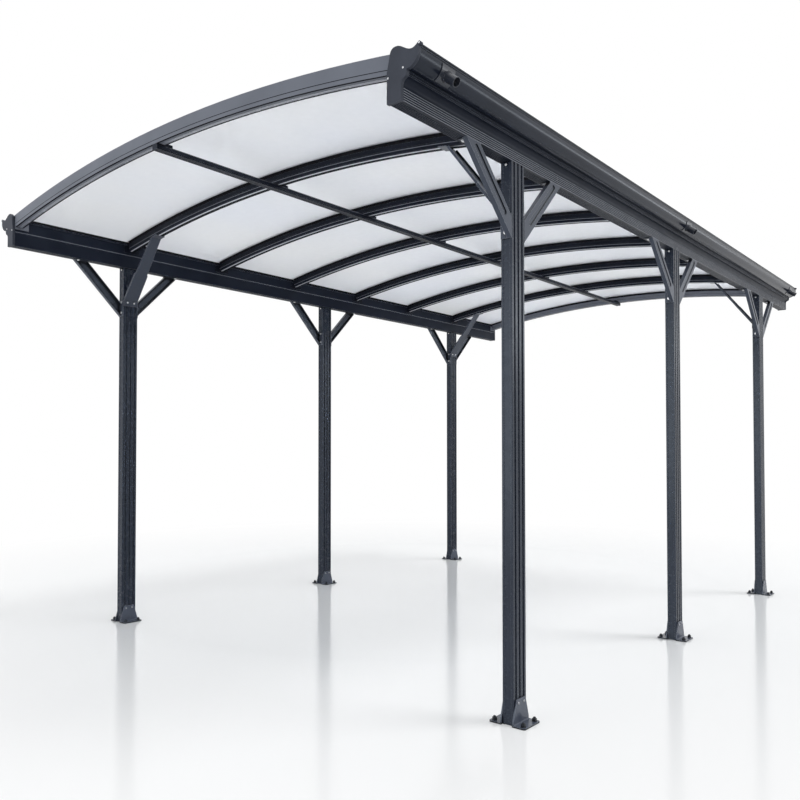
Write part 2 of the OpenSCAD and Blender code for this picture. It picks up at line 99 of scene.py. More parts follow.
def pick_faces(piece, wanted):
    """Selects the faces of a piece for which wanted(face) holds, and enters edit mode on faces."""
    take_up(piece)
    bpy.ops.object.mode_set(mode="EDIT")
    bpy.ops.mesh.select_mode(type="FACE")
    bpy.ops.mesh.select_all(action="DESELECT")
    bpy.ops.object.mode_set(mode="OBJECT")
    for face in piece.data.polygons:
        face.select = wanted(face)
    bpy.ops.object.mode_set(mode="EDIT")


def leave_edit():
    bpy.ops.object.mode_set(mode="OBJECT")


def cylinder(name, radius, low, high, sides):
    deselect()
    bpy.ops.mesh.primitive_cylinder_add(
        vertices=sides, radius=radius, depth=high - low, location=(0, 0, (low + high) / 2))
    bpy.ops.object.transform_apply(location=True, rotation=True, scale=True)
    return named(name)


def bevel_top(piece, width, segments):
    """Bevels the rim of a piece's top face."""
    pick_faces(piece, lambda face: face.normal.z > FACING)
    bpy.ops.mesh.bevel(offset=width, segments=segments, profile=0.5, affect="EDGES")
    leave_edit()


def cut(piece, cutter):
    """Takes the cutter's shape out of a piece."""
    take_up(piece)
    modifier = piece.modifiers.new("recess", "BOOLEAN")
    modifier.operation = "DIFFERENCE"
    modifier.solver = "EXACT"
    modifier.object = cutter
    bpy.ops.object.modifier_apply(modifier=modifier.name)
    bpy.data.objects.remove(cutter)


def joined(name, parts):
    deselect()
    for part in parts:
        part.select_set(True)
    bpy.context.view_layer.objects.active = parts[0]
    if len(parts) > 1:
        bpy.ops.object.join()
    return named(name)


def placed(master, at, facing):
    """A copy of a piece that stands on the origin, moved to a point and turned to a direction."""
    copy = master.copy()
    copy.data = master.data.copy()
    bpy.context.scene.collection.objects.link(copy)
    copy.rotation_mode = "QUATERNION"
    copy.rotation_quaternion = Vector(facing).to_track_quat("Z", "Y")
    copy.location = at
    take_up(copy)
    bpy.ops.object.transform_apply(location=True, rotation=True, scale=True)
    return copy


def finish_piece(piece, material, smooth_angle=35):
    """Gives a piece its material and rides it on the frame."""
    take_up(piece)
    piece.data.materials.clear()
    piece.data.materials.append(material)
    bpy.ops.object.shade_smooth_by_angle(angle=math.radians(smooth_angle))
    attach(piece, "root")
    return piece


# ---- materials ------------------------------------------------------------------

# Reflections in the coating are a little blue
COAT_REFLECTION = (0.84, 0.92, 1, 1)
PEEL_DEPTH = 0.3 * MM
GRAIN_DEPTH = 0.2 * MM
MOULDED_EDGE = 1.5 * MM
FLUTE_PITCH = 10 * MM
# How far below its limit the painted shade along a lower edge begins to fade
PAINTED_SHADE_FADE = 0.4 * MM


def new_material(name):
    material = bpy.data.materials.new(name)
    material.use_nodes = True
    return material, material.node_tree.nodes, material.node_tree.links


def object_coordinates(nodes):
    return nodes.new("ShaderNodeTexCoord").outputs["Object"]


def noise(nodes, links, coordinates, scale, detail=2.0, stretch=(1, 1, 1)):
    """Fac of a noise texture, its features 1/scale metres across."""
    mapping = nodes.new("ShaderNodeMapping")
    mapping.inputs["Scale"].default_value = stretch
    links.new(coordinates, mapping.inputs["Vector"])
    texture = nodes.new("ShaderNodeTexNoise")
    texture.inputs["Scale"].default_value = scale
    texture.inputs["Detail"].default_value = detail
    links.new(mapping.outputs["Vector"], texture.inputs["Vector"])
    return texture.outputs["Fac"]


def spread(nodes, links, value, low, high, to_low, to_high):
    """A value's range low to high, spread to to_low to to_high."""
    node = nodes.new("ShaderNodeMapRange")
    node.inputs["From Min"].default_value = low
    node.inputs["From Max"].default_value = high
    node.inputs["To Min"].default_value = to_low
    node.inputs["To Max"].default_value = to_high
    links.new(value, node.inputs["Value"])
    return node.outputs["Result"]


def mixed(nodes, links, share, first, second):
    """A colour between two, each a colour or a socket."""
    node = nodes.new("ShaderNodeMix")
    node.data_type = "RGBA"
    links.new(share, node.inputs["Factor"])
    for socket, colour in ((node.inputs["A"], first), (node.inputs["B"], second)):
        if isinstance(colour, tuple):
            socket.default_value = (*colour, 1)
        else:
            links.new(colour, socket)
    return node.outputs["Result"]


def highlight_edges(nodes, links, radius):
    """1 on the edges of a shape and 0 on its faces, used to paint highlights on edges, and the
    normal with its edges rounded.
    """
    rounded = nodes.new("ShaderNodeBevel")
    rounded.samples = 4
    rounded.inputs["Radius"].default_value = radius
    flat = nodes.new("ShaderNodeNewGeometry")
    dot = nodes.new("ShaderNodeVectorMath")
    dot.operation = "DOT_PRODUCT"
    links.new(rounded.outputs["Normal"], dot.inputs[0])
    links.new(flat.outputs["True Normal"], dot.inputs[1])
    return spread(nodes, links, dot.outputs["Value"], 0.99, 0.82, 0, 1), rounded.outputs["Normal"]


def open_to_light(nodes, links, reach, closed, wide_open):
    """0 deep in a groove or an inner corner and 1 on open faces and outer edges."""
    occlusion = nodes.new("ShaderNodeAmbientOcclusion")
    occlusion.samples = 12
    occlusion.inputs["Distance"].default_value = reach
    return spread(nodes, links, occlusion.outputs["AO"], closed, wide_open, 0, 1)


def product(nodes, links, first, second):
    node = nodes.new("ShaderNodeMath")
    node.operation = "MULTIPLY"
    links.new(first, node.inputs[0])
    links.new(second, node.inputs[1])
    return node.outputs["Value"]


def powder_coat(name, deep, pale, edge, rough, edge_radius=0.8 * MM, specular=0.4,
                groove=(9 * MM, 0.48, 0.80), painted_shade_below=None):
    """Satin powder coat on aluminium: orange peel, faint clouds, painted shade in grooves and
    painted highlights on edges.

    groove is what open_to_light takes, and up to the height painted_shade_below the coat is painted
    near black, a painted shade along its lower edge."""
    material, nodes, links = new_material(name)
    shader = nodes["Principled BSDF"]
    where = object_coordinates(nodes)
    clouds = noise(nodes, links, where, 5, detail=4)
    colour = mixed(nodes, links, spread(nodes, links, clouds, 0.3, 0.7, 0, 1), deep, pale)
    unshaded_share = open_to_light(nodes, links, *groove)
    # Painted shade: grooves and inner corners darkened towards a fifth of the deep tone.
    colour = mixed(nodes, links, unshaded_share, tuple(0.2 * c for c in deep), colour)
    highlight_share, normal = highlight_edges(nodes, links, edge_radius)
    # Painted highlights: open edges turned to the edge colour.
    colour = mixed(nodes, links, product(nodes, links, highlight_share, unshaded_share), colour, edge)
    # Painted shade: near black up to the given height along the lower edge.
    if painted_shade_below is not None:
        axes = nodes.new("ShaderNodeSeparateXYZ")
        links.new(where, axes.inputs["Vector"])
        raised = spread(nodes, links, axes.outputs["Z"], painted_shade_below - PAINTED_SHADE_FADE, painted_shade_below, 0, 1)
        colour = mixed(nodes, links, raised, tuple(0.1 * c for c in deep), colour)
    links.new(colour, shader.inputs["Base Color"])
    handling = noise(nodes, links, where, 40, detail=3)
    links.new(spread(nodes, links, handling, 0.3, 0.7, rough - 0.05, rough + 0.05),
              shader.inputs["Roughness"])
    peel = noise(nodes, links, where, 450, detail=1)
    bump = nodes.new("ShaderNodeBump")
    bump.inputs["Strength"].default_value = 0.10
    bump.inputs["Distance"].default_value = PEEL_DEPTH
    links.new(peel, bump.inputs["Height"])
    links.new(normal, bump.inputs["Normal"])
    links.new(bump.outputs["Normal"], shader.inputs["Normal"])
    shader.inputs["Specular IOR Level"].default_value = specular
    shader.inputs["Specular Tint"].default_value = COAT_REFLECTION
    return material


def moulded_plastic(name, deep, pale, rough, specular):
    """Moulded weatherproof plastic with a fine spark-eroded grain and painted highlights on its
    edges.
    """
    material, nodes, links = new_material(name)
    shader = nodes["Principled BSDF"]
    where = object_coordinates(nodes)
    clouds = noise(nodes, links, where, 12, detail=3)
    colour = mixed(nodes, links, spread(nodes, links, clouds, 0.3, 0.7, 0, 1), deep, pale)
    highlight_share, normal = highlight_edges(nodes, links, MOULDED_EDGE)
    # Painted highlights: edges turned to twice the pale tone.
    links.new(mixed(nodes, links, highlight_share, colour, tuple(2 * c for c in pale)),
              shader.inputs["Base Color"])
    grain = noise(nodes, links, where, 900, detail=2)
    links.new(spread(nodes, links, grain, 0.3, 0.7, rough - 0.06, rough + 0.06),
              shader.inputs["Roughness"])
    bump = nodes.new("ShaderNodeBump")
    bump.inputs["Strength"].default_value = 0.25
    bump.inputs["Distance"].default_value = GRAIN_DEPTH
    links.new(grain, bump.inputs["Height"])
    links.new(normal, bump.inputs["Normal"])
    links.new(bump.outputs["Normal"], shader.inputs["Normal"])
    shader.inputs["Specular IOR Level"].default_value = specular
    return material


def opal_sheet(name):
    """Opal twin-wall sheet: milky, with soft clouds and fine flutes that run down the curve."""
    material, nodes, links = new_material(name)
    shader = nodes["Principled BSDF"]
    where = object_coordinates(nodes)
    clouds = noise(nodes, links, where, 1.6, detail=3, stretch=(1, 0.6, 1))
    milky = mixed(nodes, links, spread(nodes, links, clouds, 0.35, 0.65, 0, 1),
                  (0.925, 0.95, 1.0), (0.965, 0.98, 1.0))
    flutes = nodes.new("ShaderNodeTexWave")
    flutes.wave_type = "BANDS"
    flutes.bands_direction = "Y"
    flutes.inputs["Scale"].default_value = 2 * math.pi / (20 * FLUTE_PITCH)
    links.new(where, flutes.inputs["Vector"])
    share = spread(nodes, links, flutes.outputs["Fac"], 0, 1, 0, 0.06)
    links.new(mixed(nodes, links, share, milky, (0.66, 0.69, 0.76)), shader.inputs["Base Color"])
    haze = noise(nodes, links, where, 30, detail=2)
    links.new(spread(nodes, links, haze, 0.3, 0.7, 0.5, 0.6), shader.inputs["Roughness"])
    shader.inputs["Transmission Weight"].default_value = 0.92
    shader.inputs["IOR"].default_value = 1.35
    shader.inputs["Specular IOR Level"].default_value = 0.5
    return material


def zinc_steel(name, shade):
    """Bright zinc-plated steel with fine turning marks."""
    material, nodes, links = new_material(name)
    shader = nodes["Principled BSDF"]
    where = object_coordinates(nodes)
    spangle = noise(nodes, links, where, 260, detail=3)
    links.new(mixed(nodes, links, spread(nodes, links, spangle, 0.3, 0.7, 0, 1),
                    tuple(0.8 * c for c in shade), shade), shader.inputs["Base Color"])
    links.new(spread(nodes, links, spangle, 0.3, 0.7, 0.22, 0.36), shader.inputs["Roughness"])
    shader.inputs["Metallic"].default_value = 1
    return material


def gasket_rubber(name):
    """Black rubber with a dull bloom, for seals and foam strips."""
    material, nodes, links = new_material(name)
    shader = nodes["Principled BSDF"]
    where = object_coordinates(nodes)
    bloom = noise(nodes, links, where, 60, detail=4)
    links.new(mixed(nodes, links, spread(nodes, links, bloom, 0.35, 0.7, 0, 1),
                    (0.008, 0.008, 0.010), (0.02, 0.02, 0.024)), shader.inputs["Base Color"])
    links.new(spread(nodes, links, bloom, 0.3, 0.7, 0.6, 0.75), shader.inputs["Roughness"])
    shader.inputs["Specular IOR Level"].default_value = 0.05
    return material


# Each coat: its deep and pale tones, the colour of its painted edge highlights, and its roughness.
post_paint = powder_coat("post_powder_coat", (0.015, 0.020, 0.034), (0.021, 0.027, 0.043),
                         (0.34, 0.38, 0.45), 0.25, specular=0.32)
# The brackets are painted near black up to 5.7 mm, a painted shade along the flange's edge.
bracket_paint = powder_coat("bracket_powder_coat", (0.070, 0.080, 0.108), (0.085, 0.096, 0.128),
                            (0.62, 0.64, 0.70), 0.22, specular=0.3, painted_shade_below=5.7 * MM)
brace_paint = powder_coat("brace_powder_coat", (0.058, 0.066, 0.088), (0.072, 0.081, 0.106),
                          (0.60, 0.64, 0.72), 0.34, edge_radius=1.3 * MM, specular=0.3,
                          groove=(24 * MM, 0.70, 0.93))
beam_paint = powder_coat("beam_powder_coat", (0.010, 0.013, 0.023), (0.015, 0.019, 0.031),
                         (0.32, 0.36, 0.43), 0.38, edge_radius=0.9 * MM, specular=0.10,
                         groove=(5 * MM, 0.50, 0.90))
gutter_paint = powder_coat("gutter_powder_coat", (0.009, 0.012, 0.022), (0.014, 0.018, 0.031),
                           (0.20, 0.23, 0.29), 0.20, specular=0.28)
rafter_paint = powder_coat("rafter_powder_coat", (0.007, 0.009, 0.015), (0.012, 0.014, 0.023),
                           (0.20, 0.22, 0.26), 0.42, specular=0.1)
fascia_paint = powder_coat("fascia_powder_coat", (0.150, 0.159, 0.188), (0.180, 0.190, 0.222),
                           (0.34, 0.36, 0.40), 0.42, specular=0.3)
purlin_paint = powder_coat("purlin_powder_coat", (0.013, 0.016, 0.025), (0.019, 0.023, 0.034),
                           (0.26, 0.28, 0.33), 0.42, specular=0.12)
cap_plastic = moulded_plastic("cap_plastic", (0.050, 0.055, 0.070), (0.060, 0.066, 0.084),
                              0.5, 0.15)
outlet_plastic = moulded_plastic("outlet_plastic", (0.028, 0.032, 0.044), (0.038, 0.043, 0.058),
                                 0.28, 0.6)
roof_opal = opal_sheet("opal_roof_sheet")
# Painted highlight: the near-white strip under the inner rafters.
underside_highlight_paint = powder_coat("underside_highlight_powder_coat", (0.72, 0.74, 0.79), (0.80, 0.82, 0.87),
                          (0.84, 0.86, 0.90), 0.35)
# Painted highlights: the pale strip under the fascia rafters and the bars on the beams' crests.
pale_highlight_paint = powder_coat("pale_highlight_powder_coat", (0.25, 0.26, 0.29), (0.31, 0.32, 0.36),
                               (0.42, 0.44, 0.48), 0.24, specular=1.0)
black_steel = powder_coat("black_anchor_steel", (0.005, 0.005, 0.007), (0.009, 0.009, 0.012),
                          (0.16, 0.17, 0.19), 0.22, edge_radius=0.5 * MM, specular=0.3)
screw_steel = zinc_steel("zinc_screw_steel", (0.80, 0.81, 0.83))
dark_steel = zinc_steel("dark_screw_steel", (0.42, 0.43, 0.46))
seal_rubber = gasket_rubber("seal_rubber")


def repaint(prefixes, material):
    """Gives the CAD nodes whose names start with one of the prefixes a material."""
    for name, node in NODES.items():
        if name.startswith(prefixes):
            for slot in node.material_slots:
                slot.material = material


repaint(("post_",), post_paint)
repaint(("feet_",), bracket_paint)
repaint(("side_braces_", "cross_braces_"), brace_paint)
repaint(("beam_",), beam_paint)
repaint(("gutter_left", "gutter_right"), gutter_paint)
repaint(("gutter_outlets_",), outlet_plastic)
repaint(("end_caps_",), cap_plastic)
repaint(("rafter_",), rafter_paint)
repaint(("rafter_front", "rafter_rear"), fascia_paint)
repaint(("purlin",), purlin_paint)
repaint(("roof_sheet_",), roof_opal)

# ---- fasteners --------------------------------------------------------------------

# An anchor bolt's washer, nut and stud: radii, the washer's thickness and the
# heights of the nut's and the stud's tops
WASHER_R = 10 * MM
WASHER_T = 2 * MM
NUT_R = 9.5 * MM
NUT_TOP = 11 * MM
STUD_R = 5.5 * MM
STUD_TOP = 17 * MM


def anchor_bolt():
    """A hexagon nut on its washer with the anchor's stud through it, standing on the origin."""
    washer = cylinder("washer", WASHER_R, 0, WASHER_T, 32)
    bevel_top(washer, 0.6 * MM, 2)
    nut = cylinder("nut", NUT_R, WASHER_T, NUT_TOP, 6)
    pick_faces(nut, lambda face: face.normal.z > FACING)
    bpy.ops.mesh.inset(thickness=1.2 * MM)
    bpy.ops.transform.translate(value=(0, 0, 0.9 * MM))
    leave_edit()
    stud = cylinder("stud", STUD_R, NUT_TOP, STUD_TOP, 20)
    bevel_top(stud, 2.2 * MM, 4)
    return joined("anchor_bolt", [washer, nut, stud])


def pan_screw(radius, height):
    """A pan-head screw with a cross recess, standing on the origin."""
    head = cylinder("pan_screw", radius, 0, height, 28)
    bevel_top(head, height * 0.7, 4)
    for turn in (0, math.pi / 2):
        deselect()
        bpy.ops.mesh.primitive_cube_add(size=1, location=(0, 0, height), rotation=(0, 0, turn))
        arm = bpy.context.object
        arm.dimensions = (radius * 1.05, radius * 0.26, height * 0.8)
        bpy.ops.object.transform_apply(location=True, rotation=True, scale=True)
        cut(head, arm)
    return head


def hex_screw(radius, height):
    """A flanged hexagon-head screw, standing on the origin."""
    flange = cylinder("flange", radius * 1.35, 0, height * 0.25, 28)
    bevel_top(flange, height * 0.12, 2)
    head = cylinder("head", radius, height * 0.2, height, 6)
    bevel_top(head, height * 0.15, 2)
    return joined("hex_screw", [flange, head])


bolt = anchor_bolt()
pan = pan_screw(5.5 * MM, 3.5 * MM)
small_pan = pan_screw(3.6 * MM, 2.4 * MM)
hexagon = hex_screw(6 * MM, 5 * MM)

UP = (0, 0, 1)
DOWN = (0, 0, -1)
FOOT_PLATE_T = 6 * MM
BRACE_T = 3 * MM
ANCHOR_OUT = 40 * MM
ANCHOR_PITCH = 86 * MM
FOOT_SCREW_Z = 84 * MM
FOOT_SCREW_PITCH = 40 * MM
POST_TOP_SCREW_DROP = 12 * MM
# Screws of a side brace: heights above its lower end and place inwards of the
# post's middle, then the head's screw from its outer end and inwards
BRACE_SCREW_RISES = (25 * MM, 88 * MM)
BRACE_SCREW_IN = 3 * MM
BRACE_HEAD_SCREW_BACK = 20 * MM
BRACE_HEAD_SCREW_IN = 6 * MM
# Screws of a cross brace's foot: half their pitch and their height above its end
CROSS_SCREW_HALF_PITCH = 22 * MM
CROSS_SCREW_RISE = 22 * MM
# Places of an end cap's screws, out from the middle of the carport and up
CAP_SCREWS = ((1512 * MM, 2377 * MM), (1446 * MM, 2317 * MM), (1382 * MM, 2300 * MM))


def post_fasteners(row, side, sign):
    """The anchor bolts, foot screws, brace screws and top screws of one post."""
    low, high, centre = post_box(row, side)
    faces_x = ((low.x, -1), (high.x, 1))
    faces_y = ((low.y, -1), (high.y, 1))
    bolts = [placed(bolt, (x + out * ANCHOR_OUT, centre.y + end * ANCHOR_PITCH / 2, FOOT_PLATE_T),
                    UP)
             for x, out in faces_x for end in (-1, 1)]
    finish_piece(joined(f"anchor_bolts_{row}_{side}", bolts), black_steel)

    screws = [placed(pan, (x + out * FOOT_PLATE_T, centre.y + end * FOOT_SCREW_PITCH / 2,
                           FOOT_SCREW_Z), (out, 0, 0))
              for x, out in faces_x for end in (-1, 1)]
    finish_piece(joined(f"foot_screws_{row}_{side}", screws), dark_steel)

    braces_low, braces_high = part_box(f"side_braces_{row}_{side}")
    tabs = [placed(hexagon, (centre.x - sign * BRACE_SCREW_IN, y + out * BRACE_T,
                             braces_low.z + rise), (0, out, 0))
            for y, out in faces_y for rise in BRACE_SCREW_RISES]
    heads = [placed(hexagon, (centre.x - sign * BRACE_HEAD_SCREW_IN,
                              y - out * BRACE_HEAD_SCREW_BACK, BEAM_UNDER - BRACE_T), DOWN)
             for y, out in ((braces_low.y, -1), (braces_high.y, 1))]
    finish_piece(joined(f"brace_screws_{row}_{side}", tabs + heads), screw_steel)

    tops = [placed(pan, (centre.x, y, high.z - POST_TOP_SCREW_DROP), (0, out, 0))
            for y, out in faces_y]
    finish_piece(joined(f"post_top_screws_{row}_{side}", tops), screw_steel)


def cross_brace_screws(row):
    """Two screws through each foot of a row's cross braces."""
    tab_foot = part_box(f"cross_braces_{row}")[0].z
    screws = []
    for side, sign in SIDES:
        low, high, centre = post_box(row, side)
        inner = low.x if sign > 0 else high.x
        screws += [placed(pan, (inner - sign * BRACE_T, centre.y + end * CROSS_SCREW_HALF_PITCH,
                                tab_foot + CROSS_SCREW_RISE), (-sign, 0, 0)) for end in (-1, 1)]
    finish_piece(joined(f"cross_brace_screws_{row}", screws), screw_steel)


def cap_screws(end, out):
    """The three screws of each end cap at one end of the carport."""
    low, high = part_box(f"end_caps_{end}")
    face = low.y if out < 0 else high.y
    screws = [placed(small_pan, (sign * x, face, z), (0, out, 0))
              for _, sign in SIDES for x, z in CAP_SCREWS]
    finish_piece(joined(f"cap_screws_{end}", screws), screw_steel)


for post_row in ROWS:
    for side_name, side_sign in SIDES:
        post_fasteners(post_row, side_name, side_sign)
for end_name, _ in ENDS:
    cross_brace_screws(end_name)
for end_name, end_out in ENDS:
    cap_screws(end_name, end_out)

# ---- seals and trims --------------------------------------------------------------

RAFTER_HALF_W = 22.5 * MM
NECK_HALF_W = 18 * MM
RAFTER_UNDER_RADIUS = 7933 * MM
RAFTER_REACH = 1368 * MM
ARCH_STEPS = 72
FIT = 0.1 * MM
# A seal: its upright part beside the neck and its flap under the sheet
SEAL_W = 4 * MM
SEAL_H = 13 * MM
FLAP_OUT = 12 * MM
FLAP_T = 3 * MM
SEAL_BELOW_SHEET = 0.2 * MM
SEAL_LIP = 0.8 * MM
# Trims under a rafter: how deep they sit in it and how far they stand out
TRIM_OUT = 1.2 * MM
TRIM_IN = 0.3 * MM
TRIM_LIP = 0.4 * MM
# Fine lines along a rafter's upright faces, painted highlights on the inner rafters and painted
# shade on the fascias
BEAD_DEPTH = 0.4 * MM
# Places along Y, from a rafter's middle, of the pale strip, a painted highlight, and of the black
# lines, painted shade,
# under it: for the front rafter, which the rear one mirrors, and for the ones between
EDGE_STRIP = (-2.5 * MM, 14.5 * MM)
EDGE_LINES = ((-22 * MM, -17 * MM), (15 * MM, 22.4 * MM))
INNER_STRIP = (-13 * MM, -3 * MM)
INNER_LINES = ((-1 * MM, 6 * MM),)
# Height above the underside, and thickness, of the lines along the sides
EDGE_SIDE_LINE = (15 * MM, 2.5 * MM)
INNER_SIDE_LINE = (13 * MM, 3 * MM)


def arch_bar(name, y_range, r_range, lip):
    """A bar swept along the arch between two places along Y and two radii, corners cut by lip."""
    turn = math.asin(RAFTER_REACH / r_range[0])
    centre = (0, sum(y_range) / 2, ARCH_CENTRE)
    deselect()
    bpy.ops.mesh.primitive_plane_add(size=1, location=(0, 0, 0), rotation=(0, math.pi / 2, 0))
    bar = named(name)
    bpy.ops.object.transform_apply(location=True, rotation=True, scale=True)
    bar.scale = (1, y_range[1] - y_range[0], r_range[1] - r_range[0])
    bpy.ops.object.transform_apply(location=True, rotation=True, scale=True)
    bpy.ops.object.mode_set(mode="EDIT")
    bpy.ops.mesh.select_all(action="SELECT")
    bpy.ops.mesh.bevel(offset=lip, segments=2, affect="VERTICES")
    bpy.ops.mesh.select_all(action="SELECT")
    bpy.ops.transform.translate(value=(0, centre[1], ARCH_CENTRE + sum(r_range) / 2))
    bpy.ops.transform.rotate(value=turn, orient_axis="Y", center_override=centre)
    bpy.ops.mesh.spin(steps=ARCH_STEPS, angle=-2 * turn, center=centre, axis=(0, 1, 0))
    bpy.ops.mesh.select_all(action="SELECT")
    bpy.ops.mesh.remove_doubles(threshold=0.01 * MM)
    bpy.ops.mesh.normals_make_consistent(inside=False)
    leave_edit()
    return bar


def outward(node):
    """-1 and 1 for the front and rear rafters, which have one face without a sheet, or else 0."""
    return {"rafter_front": -1, "rafter_rear": 1}.get(node, 0)


def rafter_middle(node):
    """Place along Y of the middle of a rafter's section."""
    low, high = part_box(node)
    out = outward(node)
    if out == 0:
        return (low.y + high.y) / 2
    return (low.y if out < 0 else high.y) - out * RAFTER_HALF_W


def span(y, side, near, far):
    """A stretch along Y from near to far on one side of y, lowest first."""
    return sorted((y + side * near, y + side * far))


def rafter_seals(node, y, sides):
    """The rubber seals that the sheets rest on, beside the rafter's neck on the given sides."""
    top = SHEET_UNDER_RADIUS - SEAL_BELOW_SHEET
    bars = []
    for side in sides:
        bars.append(arch_bar("seal", span(y, side, NECK_HALF_W + FIT, NECK_HALF_W + SEAL_W),
                             (SHEET_UNDER_RADIUS - SEAL_H, top), SEAL_LIP))
        bars.append(arch_bar("flap",
                             span(y, side, NECK_HALF_W + SEAL_W + FIT, NECK_HALF_W + FLAP_OUT),
                             (top - FLAP_T, top), SEAL_LIP))
    finish_piece(joined(node.replace("rafter", "sheet_seals"), bars), seal_rubber)


def rafter_trims(node, y, side, strip, lines, paint):
    """The pale strip, a painted highlight, and the black lines, painted shade, along a rafter's
    underside, mirrored where side is -1.
    """
    under = (RAFTER_UNDER_RADIUS - TRIM_OUT, RAFTER_UNDER_RADIUS + TRIM_IN)
    pale = arch_bar("strip", span(y, side, *strip), under, TRIM_LIP)
    finish_piece(named_as(pale, node.replace("rafter", "underside_highlight")), paint)
    black = joined(node.replace("rafter", "underside_line"),
                   [arch_bar("line", span(y, side, *line), under, TRIM_LIP) for line in lines])
    # The black lines, painted shade, take the black rubber's material.
    finish_piece(black, seal_rubber)


def rafter_beads(node, y, sides, line, paint):
    """The fine lines along a rafter's upright faces, line being their height and thickness: painted
    highlight where pale, painted shade of a groove where black.
    """
    high, thick = line
    r_range = (RAFTER_UNDER_RADIUS + high, RAFTER_UNDER_RADIUS + high + thick)
    bars = [arch_bar("bead", span(y, side, RAFTER_HALF_W - BEAD_DEPTH, RAFTER_HALF_W + BEAD_DEPTH),
                     r_range, BEAD_DEPTH / 2) for side in sides]
    finish_piece(joined(node.replace("rafter", "side_line"), bars), paint)


for rafter in RAFTERS:
    rafter_y = rafter_middle(rafter)
    rafter_out = outward(rafter)
    if rafter_out == 0:
        rafter_seals(rafter, rafter_y, (-1, 1))
        # Pale side lines on an inner rafter are painted highlights; under it, the pale strip is a
        # painted highlight and the black line painted shade.
        rafter_beads(rafter, rafter_y, (-1, 1), INNER_SIDE_LINE, fascia_paint)
        rafter_trims(rafter, rafter_y, 1, INNER_STRIP, INNER_LINES, underside_highlight_paint)
    else:
        rafter_seals(rafter, rafter_y, (-rafter_out,))
        # A black side line on a fascia is painted shade of a groove; under it, the pale strip is a
        # painted highlight and the black lines painted shade.
        rafter_beads(rafter, rafter_y, (rafter_out,), EDGE_SIDE_LINE, seal_rubber)
        rafter_trims(rafter, rafter_y, -rafter_out, EDGE_STRIP, EDGE_LINES, pale_highlight_paint)

BEAM_WALL_IN = 1377.2 * MM
BEAM_WALL_OUT = 1383.8 * MM
BEAM_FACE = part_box("post_front_right")[1].x
BEAM_END_GAP = 4 * MM
GASKET_RIM = 2.5 * MM
GASKET_HOLLOW = 1 * MM
# Heights above the beam's underside of the crests of its ribs and of its inner ridge, where pale
# bars are painted highlights
RIB_HEIGHTS = (2 * MM, 10 * MM, 18 * MM, 26 * MM, 34 * MM, 43 * MM)
RIDGE_HEIGHT = 78 * MM
CREST_W = 0.8 * MM
CREST_H = 1.8 * MM
CREST_LIP = 0.2 * MM


def beam_bar(name, side, x, z, width, height):
    """A straight bar along a side beam, a little shorter than it, centred at x and z."""
    low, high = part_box(f"beam_{side}")
    deselect()
    bpy.ops.mesh.primitive_cube_add(size=1, location=(x, (low.y + high.y) / 2, z))
    bar = named(name)
    bar.dimensions = (width, high.y - low.y - BEAM_END_GAP, height)
    bpy.ops.object.transform_apply(location=True, rotation=True, scale=True)
    return bar


def beam_gasket(side, sign):
    """The black foam strip between a side beam's upright wall and the sheets."""
    under_sheet = (ARCH_CENTRE + math.sqrt(SHEET_UNDER_RADIUS ** 2 - BEAM_WALL_OUT ** 2)
                   - SEAL_BELOW_SHEET)
    strip = beam_bar(f"beam_gasket_{side}", side, sign * (BEAM_WALL_IN + BEAM_WALL_OUT) / 2,
                     (BEAM_TOP + under_sheet) / 2, BEAM_WALL_OUT - BEAM_WALL_IN,
                     under_sheet - BEAM_TOP)
    pick_faces(strip, lambda face: abs(face.normal.x) > FACING)
    bpy.ops.mesh.inset(thickness=GASKET_RIM)
    bpy.ops.mesh.extrude_region_shrink_fatten(TRANSFORM_OT_shrink_fatten={"value": -GASKET_HOLLOW})
    leave_edit()
    finish_piece(strip, seal_rubber)


def beam_crest_highlights(side, sign):
    """Pale bars on a side beam's crests, painted highlights: ribs along its outer face and a ridge
    along its inner one.
    """
    low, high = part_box(f"beam_{side}")
    inner_face = min(abs(low.x), abs(high.x))
    crests = [(BEAM_FACE, height) for height in RIB_HEIGHTS] + [(inner_face, RIDGE_HEIGHT)]
    bars = []
    for face, height in crests:
        bar = beam_bar("rib", side, sign * face, BEAM_UNDER + height, CREST_W, CREST_H)
        bpy.ops.object.mode_set(mode="EDIT")
        bpy.ops.mesh.select_all(action="SELECT")
        bpy.ops.mesh.bevel(offset=CREST_LIP, segments=2)
        leave_edit()
        bars.append(bar)
    finish_piece(joined(f"beam_highlight_lines_{side}", bars), pale_highlight_paint)


for side_name, side_sign in SIDES:
    beam_gasket(side_name, side_sign)
    beam_crest_highlights(side_name, side_sign)

# ---- stage, light and camera ------------------------------------------------------

# The floor keeps its shadows around this point and is plain white past the
# second distance from it
SHADOW_CENTRE = (-0.9, 0.6, 0)
FLOOR_FADE = (2.4, 5.2)
FLOOR_SIZE = 160
FLOOR_DROP = 0.2 * MM
LIGHT_TINT = (0.92, 0.96, 1)


def seen_or_mirrored(nodes, links):
    """1 for what the camera sees, straight, in a mirror or through glass, and 0 for lighting."""
    path = nodes.new("ShaderNodeLightPath")
    total = path.outputs["Is Camera Ray"]
    for ray in ("Is Glossy Ray", "Is Transmission Ray"):
        either = nodes.new("ShaderNodeMath")
        either.operation = "MAXIMUM"
        links.new(total, either.inputs[0])
        links.new(path.outputs[ray], either.inputs[1])
        total = either.outputs["Value"]
    return total


